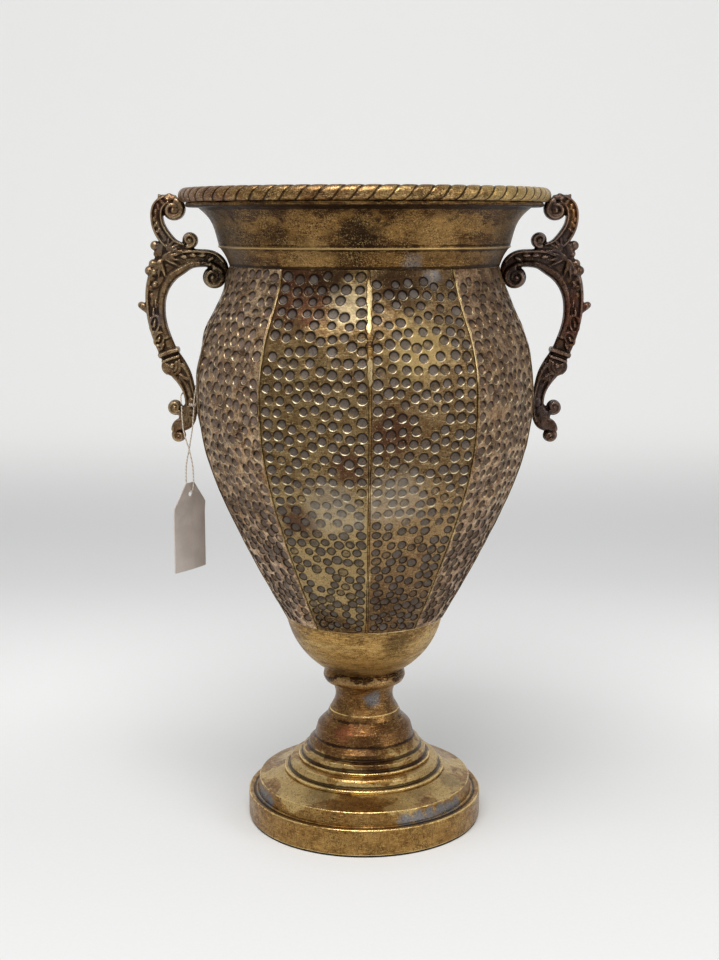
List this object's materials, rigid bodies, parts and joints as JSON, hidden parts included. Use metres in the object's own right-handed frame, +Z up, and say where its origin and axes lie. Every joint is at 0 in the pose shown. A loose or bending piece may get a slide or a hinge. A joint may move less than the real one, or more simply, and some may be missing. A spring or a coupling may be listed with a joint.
{
  "type": "urn vase",
  "caption": "Footed urn vase with a hammered panelled belly, flaring neck, rope rim, two scroll handles and a blank swing tag.",
  "frame": {"origin": "centre of the foot's underside", "axes": "+Z up along the vase's axis, the handles lie along X, the front with its middle seam looks to -Y"},
  "size_m": [0.3012, 0.243, 0.43],
  "materials": {
    "hammered_brass": "antique gilt over hammered sheet, brown patina",
    "seam_brass": "antique gilt, rubbed bright",
    "spun_brass": "antique gilt over spun sheet",
    "rim_brass": "antique gilt, brown in the grooves",
    "turned_brass": "antique gilt, brown in the grooves",
    "cast_bronze": "dark antique casting, rubbed edges",
    "plain_steel": "plain zinc",
    "base_pad": "matt",
    "thread": "waxed thread",
    "tag_card": "matt card"
  },
  "bodies": {
    "vase": {"body_panel_01": "hammered_brass", "body_panel_02": "hammered_brass", "body_panel_03": "hammered_brass", "body_panel_04": "hammered_brass", "body_panel_05": "hammered_brass", "body_panel_06": "hammered_brass", "body_panel_07": "hammered_brass", "body_panel_08": "hammered_brass", "body_panel_09": "hammered_brass", "body_panel_10": "hammered_brass", "seam_strip_01": "seam_brass", "seam_strip_02": "seam_brass", "seam_strip_03": "seam_brass", "seam_strip_04": "seam_brass", "seam_strip_05": "seam_brass", "seam_strip_06": "seam_brass", "seam_strip_07": "seam_brass", "seam_strip_08": "seam_brass", "seam_strip_09": "seam_brass", "seam_strip_10": "seam_brass", "lower_bowl": "spun_brass", "neck": "spun_brass", "rim_rope": "rim_brass", "stem_collar": "turned_brass", "stem_barrel": "turned_brass", "foot_bell": "turned_brass", "foot_step": "turned_brass", "foot_dish": "turned_brass", "plinth_ring": "turned_brass", "base_plate": "plain_steel", "base_pad": "base_pad", "handle_left": "cast_bronze", "handle_right": "cast_bronze", "handle_screws": "plain_steel", "handle_washers": "plain_steel", "tie_rod": "plain_steel", "tie_nuts": "plain_steel", "tie_washers": "plain_steel", "string_wrap": "thread", "string_knot": "thread"},
    "thread": {"string_left": "thread", "string_right": "thread"},
    "tag": {"string_loop": "thread", "swing_tag": "tag_card"}
  },
  "joints": [
    {"name": "tag_swing", "type": "hinge", "parent": "vase", "child": "thread", "pos_m": [-0.1176, -0.0066, 0.288], "axis": [-1, 0, 0], "range_deg": [0, 60]},
    {"name": "tag_turn", "type": "hinge", "parent": "thread", "child": "tag", "pos_m": [-0.1176, -0.0066, 0.2582], "axis": [0, 0, 1], "range_deg": [-70, 70]}
  ]
}
